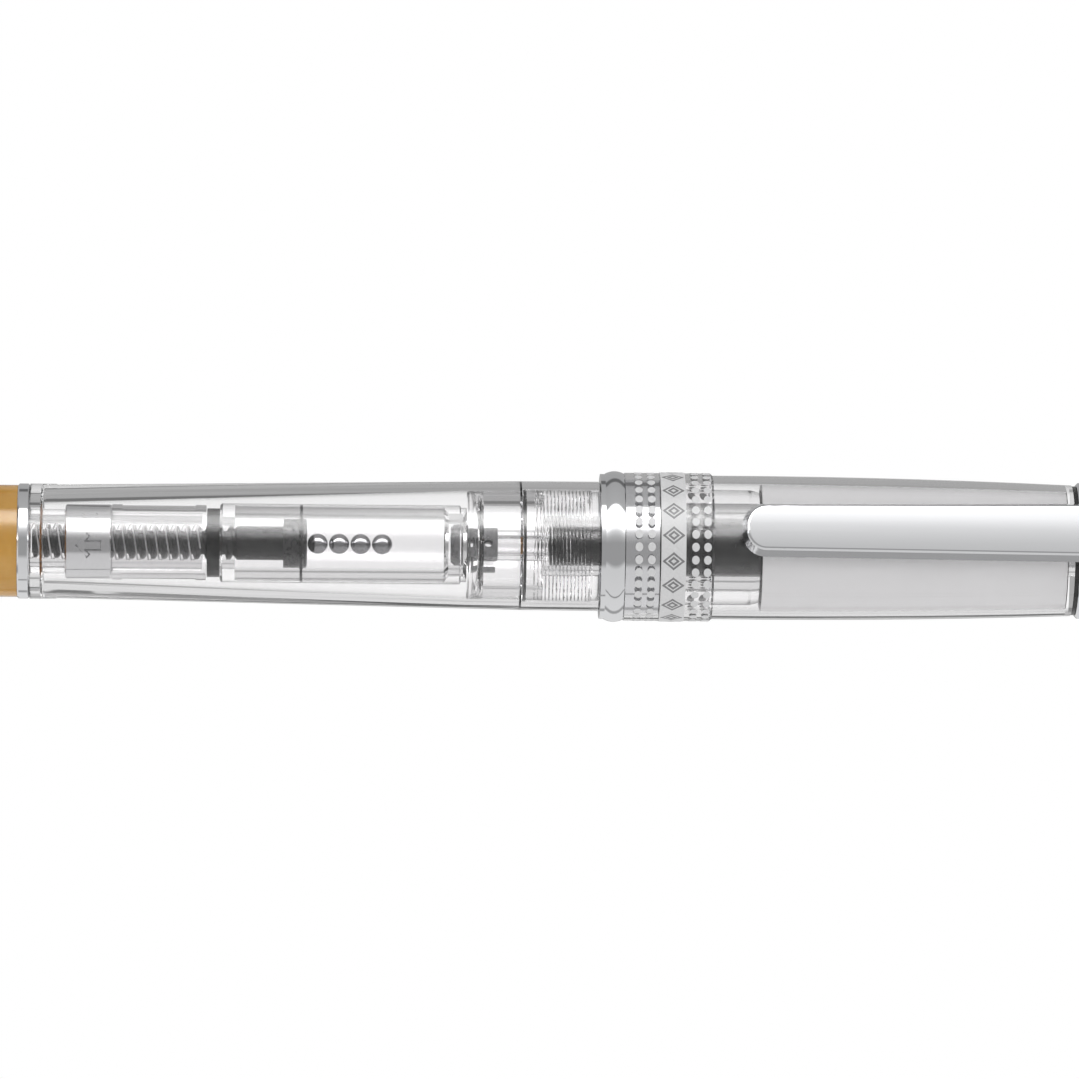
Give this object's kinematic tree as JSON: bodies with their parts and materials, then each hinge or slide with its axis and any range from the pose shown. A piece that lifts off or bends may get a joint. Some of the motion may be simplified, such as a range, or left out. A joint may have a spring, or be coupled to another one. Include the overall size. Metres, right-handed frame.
{
  "type": "fountain pen",
  "caption": "Clear demonstrator fountain pen with a screw piston converter, agitator balls, screw-in grip section, pull-off clip cap and amber end pieces.",
  "frame": {"origin": "centre of the flat tail face", "axes": "+Z along the pen from the tail to the cap top; the clip is on the -Y side; +X completes the right hand"},
  "size_m": [0.0134, 0.0157, 0.1204],
  "materials": {
    "clear_plastic": "clear, polished",
    "amber_plastic": "translucent amber, polished",
    "chrome": "mirror plated",
    "satin_steel": "satin",
    "stud_steel": "turned",
    "nib_steel": "polished",
    "ball_steel": "ground and polished",
    "black_plastic": "glossy",
    "black_rubber": "moulded",
    "grey_plastic": "moulded",
    "frosted_plastic": "frosted, translucent",
    "print_white": "printed foil"
  },
  "bodies": {
    "barrel": {"barrel": "clear_plastic", "tail_ring": "chrome", "tail_plug": "amber_plastic"},
    "joint_ring": {"joint_gasket": "black_rubber"},
    "section": {"section": "clear_plastic", "ink_nipple": "grey_plastic", "ink_tube": "clear_plastic", "feed": "black_plastic", "nib": "nib_steel", "nib_tip_bead": "nib_steel"},
    "converter": {"converter_chamber": "clear_plastic", "converter_collar": "black_plastic", "converter_housing": "clear_plastic", "converter_sleeve": "satin_steel"},
    "knob": {"converter_knob": "clear_plastic"},
    "piston": {"drive_screw": "black_plastic", "piston": "black_rubber", "piston_seal": "black_rubber"},
    "balls": {"agitator_ball_1": "ball_steel", "agitator_ball_2": "ball_steel", "agitator_ball_3": "ball_steel", "agitator_ball_4": "ball_steel"},
    "cap": {"cap_shell": "clear_plastic", "cap_ring": "chrome", "cap_band": "print_white", "inner_cap": "frosted_plastic", "cap_washer": "black_rubber", "cap_stud": "stud_steel", "clip_ring": "chrome", "finial": "amber_plastic"},
    "clip": {"clip_arm": "chrome"}
  },
  "joints": [
    {"name": "section_lift", "type": "slide", "parent": "barrel", "child": "joint_ring", "axis": [0, 0, 1], "range_m": [0, 0.0053]},
    {"name": "section_turn", "type": "hinge", "parent": "joint_ring", "child": "section", "pos_m": [0, 0, 0.06], "axis": [0, 0, 1], "range_deg": [0, 2908]},
    {"name": "cap_pull", "type": "slide", "parent": "section", "child": "cap", "axis": [0, 0, 1], "range_m": [0, 0.04]},
    {"name": "clip_flex", "type": "hinge", "parent": "cap", "child": "clip", "pos_m": [0, -0.00742, 0.1096], "axis": [-1, 0, 0], "range_deg": [0, 6], "stiffness_Nm_per_rad": 2.2},
    {"name": "converter_pull", "type": "slide", "parent": "section", "child": "converter", "axis": [0, 0, -1], "range_m": [0, 0.0018]},
    {"name": "knob_turn", "type": "hinge", "parent": "converter", "child": "knob", "pos_m": [0, 0, 0.016], "axis": [0, 0, -1], "range_deg": [-796, 569]},
    {"name": "piston_travel", "type": "slide", "parent": "converter", "child": "piston", "axis": [0, 0, 1], "range_m": [-0.0042, 0.003]},
    {"name": "balls_roll", "type": "slide", "parent": "piston", "child": "balls", "axis": [0, 0, 1], "range_m": [0, 0.0018]}
  ],
  "couplings": [
    {"joint": "section_lift", "follows": "section_turn", "m_per_rad": 0.00010345},
    {"joint": "knob_turn", "follows": "piston_travel", "rad_per_m": 3306.9}
  ]
}
